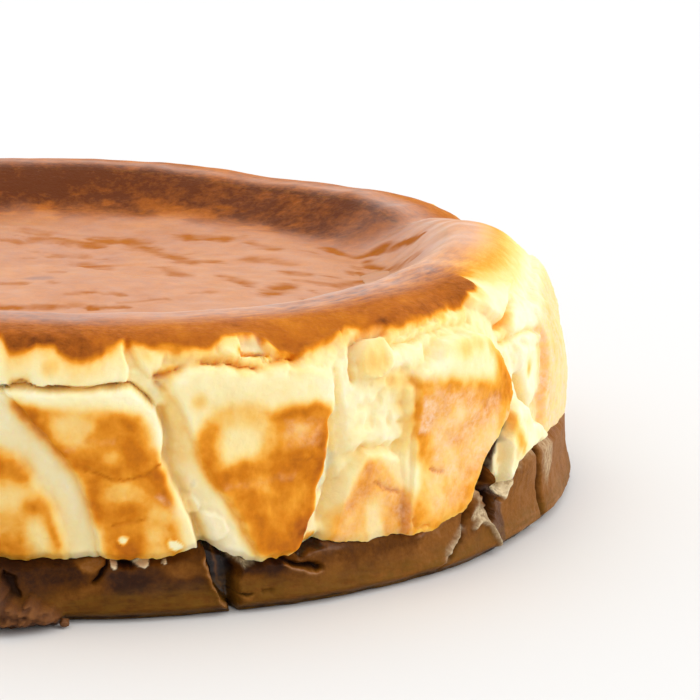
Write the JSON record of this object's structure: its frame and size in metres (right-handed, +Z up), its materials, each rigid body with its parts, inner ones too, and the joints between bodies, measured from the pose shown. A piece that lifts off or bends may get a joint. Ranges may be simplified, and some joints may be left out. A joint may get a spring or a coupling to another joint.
{
  "type": "chocolate basque cheesecake",
  "caption": "Whole round basque cheesecake with a sunken browned top inside a rolled rim, folded pale sides and a chocolate layer below.",
  "frame": {"origin": "middle of the flat underside, on the axis of the round cake", "axes": "+Z up along the cake's axis, -Y towards the side shown in the picture, +X to its right"},
  "size_m": [0.2028, 0.2094, 0.0524],
  "materials": {
    "cheesecake": "baked cheesecake: cream-yellow sides with golden brown patches, and a satin red-brown crust on top",
    "chocolate": "moist baked chocolate, mid to dark brown, satin with wet glints along its foot"
  },
  "bodies": {
    "root": {"cheesecake_layer": "cheesecake", "chocolate_layer": "chocolate"}
  },
  "joints": []
}
